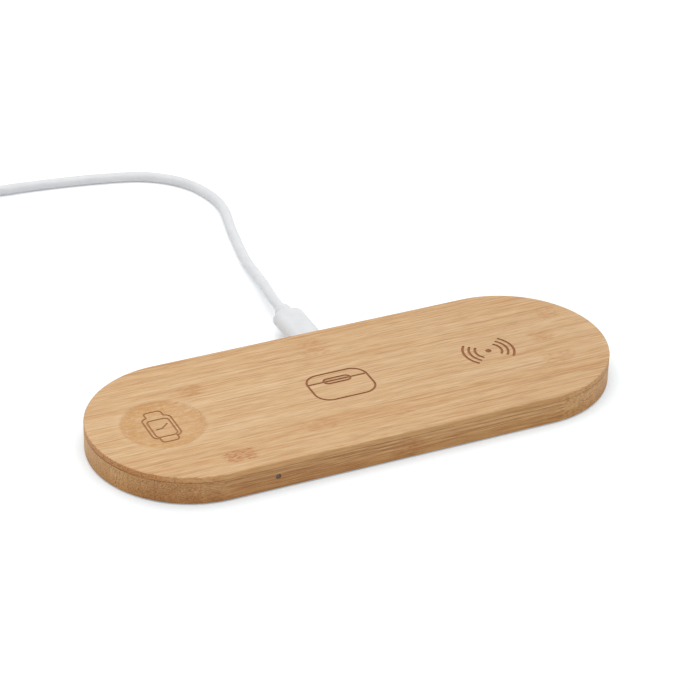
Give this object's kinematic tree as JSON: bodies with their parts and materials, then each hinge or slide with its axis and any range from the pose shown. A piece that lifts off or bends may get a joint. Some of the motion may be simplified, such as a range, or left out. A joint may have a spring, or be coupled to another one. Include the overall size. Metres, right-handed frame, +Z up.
{
  "type": "wireless charging pad",
  "caption": "Long rounded bamboo wireless charging pad with a watch dish, burnt-in marks for earbuds and phone, a small front light and a white cord plugged into its back.",
  "frame": {"origin": "on the table under the middle of the pad", "axes": "+X along the pad towards the phone spot, +Y towards the socket at the back, +Z up"},
  "size_m": [0.2452, 0.2418, 0.0113],
  "materials": {
    "bamboo": "oiled, satin",
    "cover_plastic": "fine texture",
    "foot_rubber": "matte",
    "screw_steel": "zinc plated",
    "copper_wire": "enamelled copper",
    "ferrite": "sintered",
    "carrier_plastic": "moulded",
    "magnet_plating": "nickel plated",
    "board_laminate": "solder mask",
    "chip_plastic": "moulded",
    "inductor_body": "pressed powder",
    "capacitor_body": "fired",
    "light_lens": "clear over white",
    "clear_pipe": "polished end",
    "connector_steel": "nickel plated",
    "contact_plastic": "moulded",
    "contact_gold": "plated",
    "cord_plastic": "soft satin",
    "tie_fabric": "woven hook and loop",
    "insert_plastic": "moulded"
  },
  "bodies": {
    "charger": {"top_board": "bamboo", "bamboo_frame": "bamboo", "bottom_cover": "cover_plastic", "cover_screws": "screw_steel", "foot_front_left": "foot_rubber", "foot_front_right": "foot_rubber", "foot_back_left": "foot_rubber", "foot_back_right": "foot_rubber", "watch_coil": "copper_wire", "watch_ferrite": "ferrite", "watch_coil_carrier": "carrier_plastic", "watch_magnet": "magnet_plating", "earbuds_coil": "copper_wire", "earbuds_ferrite": "ferrite", "earbuds_coil_carrier": "carrier_plastic", "phone_coil": "copper_wire", "phone_ferrite": "ferrite", "phone_coil_carrier": "carrier_plastic", "main_board": "board_laminate", "board_screws": "screw_steel", "driver_chips": "chip_plastic", "bridge_transistors": "chip_plastic", "power_inductors": "inductor_body", "tuning_capacitors": "capacitor_body", "status_led": "light_lens", "light_pipe": "clear_pipe", "socket_shell": "connector_steel", "socket_tongue": "contact_plastic", "socket_contacts": "contact_gold"},
    "lead": {"plug_shell": "connector_steel", "plug_insert": "contact_plastic", "plug_grip": "cord_plastic", "cord_run": "cord_plastic", "cord_coil": "cord_plastic", "cord_tie": "tie_fabric", "far_plug_grip": "cord_plastic", "far_plug_shell": "connector_steel", "far_plug_insert": "insert_plastic", "far_plug_contacts": "contact_gold"}
  },
  "joints": [
    {"name": "plug_pull", "type": "slide", "parent": "charger", "child": "lead", "axis": [0, 1, 0], "range_m": [0, 0.012]}
  ]
}
